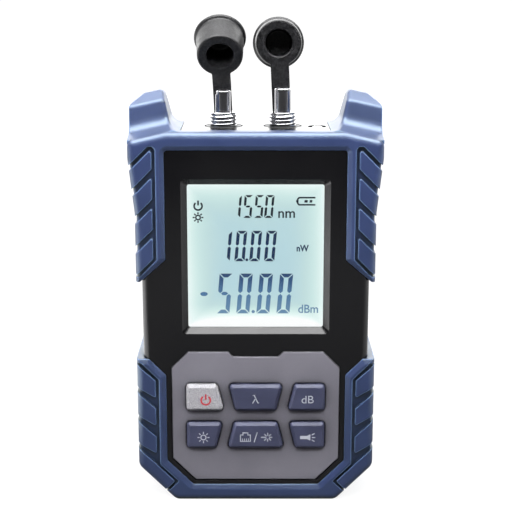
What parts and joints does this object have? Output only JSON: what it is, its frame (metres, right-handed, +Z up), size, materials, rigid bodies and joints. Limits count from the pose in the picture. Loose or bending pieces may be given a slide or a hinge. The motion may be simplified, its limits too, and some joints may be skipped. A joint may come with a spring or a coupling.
{
  "type": "optical power meter",
  "caption": "Hand-held optical power meter with rubber bumpers, a display, six keys, two threaded fibre ports with tethered dust caps, a torch and a network socket.",
  "frame": {"origin": "centre of the flat foot that the meter stands on, half way between the front and the back of its bumpers", "axes": "+X to the right as seen from the front, -Y out of the display, +Z up towards the fibre ports"},
  "size_m": [0.0698, 0.0328, 0.1361],
  "materials": {
    "blue_rubber": "matt moulded rubber with a fine grain",
    "black_case": "glossy black moulded plastic",
    "clear_window": "clear hard plastic",
    "lcd": "liquid crystal glass lit from behind",
    "diffuser": "frosted white light guide",
    "silicone": "moulded silicone",
    "grey_panel": "satin grey plastic",
    "power_key": "silver painted key",
    "slate_key": "satin slate plastic",
    "carbon": "carbon loaded silicone",
    "board": "green solder mask on glass epoxy",
    "chip": "moulded epoxy",
    "jack_plastic": "moulded black plastic",
    "led_lens": "clear epoxy lens",
    "chromed_brass": "bright plated metal",
    "ceramic": "white zirconia, stood in for by gloss plastic",
    "nickel": "plain nickel plate",
    "brass": "turned brass",
    "black_rubber": "soft black rubber",
    "cell_can": "plain printed steel can, no marks",
    "screw_steel": "blackened steel"
  },
  "bodies": {
    "meter": {"lower_bumper": "blue_rubber", "upper_bumper": "blue_rubber", "front_housing": "black_case", "rear_housing": "black_case", "display_window": "clear_window", "lcd_panel": "lcd", "lcd_backlight": "diffuser", "lcd_contact_strip": "silicone", "keypad_panel": "grey_panel", "keypad_mat": "silicone", "contact_pills": "carbon", "main_board": "board", "processor_chip": "chip", "network_jack": "jack_plastic", "torch_led": "led_lens", "meter_port": "chromed_brass", "meter_port_sleeve": "ceramic", "meter_port_nut": "nickel", "photodiode": "nickel", "laser_port": "chromed_brass", "laser_port_sleeve": "ceramic", "laser_port_nut": "nickel", "laser_module": "brass", "battery_cells": "cell_can", "battery_springs": "nickel", "battery_contacts": "nickel", "case_screws": "screw_steel", "board_screws": "screw_steel"},
    "key_power": {"key_power": "power_key"},
    "key_wavelength": {"key_wavelength": "slate_key"},
    "key_reference": {"key_reference": "slate_key"},
    "key_backlight": {"key_backlight": "slate_key"},
    "key_port": {"key_port": "slate_key"},
    "key_torch": {"key_torch": "slate_key"},
    "battery_door": {"battery_door": "black_case"},
    "meter_cap_tether": {"meter_cap_tether": "black_rubber"},
    "meter_cap": {"meter_cap": "black_rubber"},
    "laser_cap_tether": {"laser_cap_tether": "black_rubber"},
    "laser_cap": {"laser_cap": "black_rubber"}
  },
  "joints": [
    {"name": "key_power_press", "type": "slide", "parent": "meter", "child": "key_power", "axis": [0, 1, 0], "range_m": [0, 0.0008], "stiffness_N_per_m": 600, "springref_m": -0.0005},
    {"name": "key_wavelength_press", "type": "slide", "parent": "meter", "child": "key_wavelength", "axis": [0, 1, 0], "range_m": [0, 0.0008], "stiffness_N_per_m": 600, "springref_m": -0.0005},
    {"name": "key_reference_press", "type": "slide", "parent": "meter", "child": "key_reference", "axis": [0, 1, 0], "range_m": [0, 0.0008], "stiffness_N_per_m": 600, "springref_m": -0.0005},
    {"name": "key_backlight_press", "type": "slide", "parent": "meter", "child": "key_backlight", "axis": [0, 1, 0], "range_m": [0, 0.0008], "stiffness_N_per_m": 600, "springref_m": -0.0005},
    {"name": "key_port_press", "type": "slide", "parent": "meter", "child": "key_port", "axis": [0, 1, 0], "range_m": [0, 0.0008], "stiffness_N_per_m": 600, "springref_m": -0.0005},
    {"name": "key_torch_press", "type": "slide", "parent": "meter", "child": "key_torch", "axis": [0, 1, 0], "range_m": [0, 0.0008], "stiffness_N_per_m": 600, "springref_m": -0.0005},
    {"name": "battery_door_swing", "type": "hinge", "parent": "meter", "child": "battery_door", "pos_m": [0, 0.0121, 0.0235], "axis": [-1, 0, 0], "range_deg": [0, 50]},
    {"name": "meter_cap_swivel", "type": "hinge", "parent": "meter", "child": "meter_cap_tether", "pos_m": [-0.009, 0.003, 0.1056], "axis": [0, 0, 1], "range_deg": [0, 8]},
    {"name": "laser_cap_swivel", "type": "hinge", "parent": "meter", "child": "laser_cap_tether", "pos_m": [0.0076, 0.003, 0.1056], "axis": [0, 0, -1], "range_deg": [0, 8]},
    {"name": "meter_cap_fold", "type": "hinge", "parent": "meter_cap_tether", "child": "meter_cap", "pos_m": [-0.00953, 0.00775, 0.11684], "axis": [0.999, 0, 0.0454], "range_deg": [-55, 65]},
    {"name": "laser_cap_fold", "type": "hinge", "parent": "laser_cap_tether", "child": "laser_cap", "pos_m": [0.00705, 0.00775, 0.11734], "axis": [0.999, 0, 0.0454], "range_deg": [-30, 90]}
  ]
}
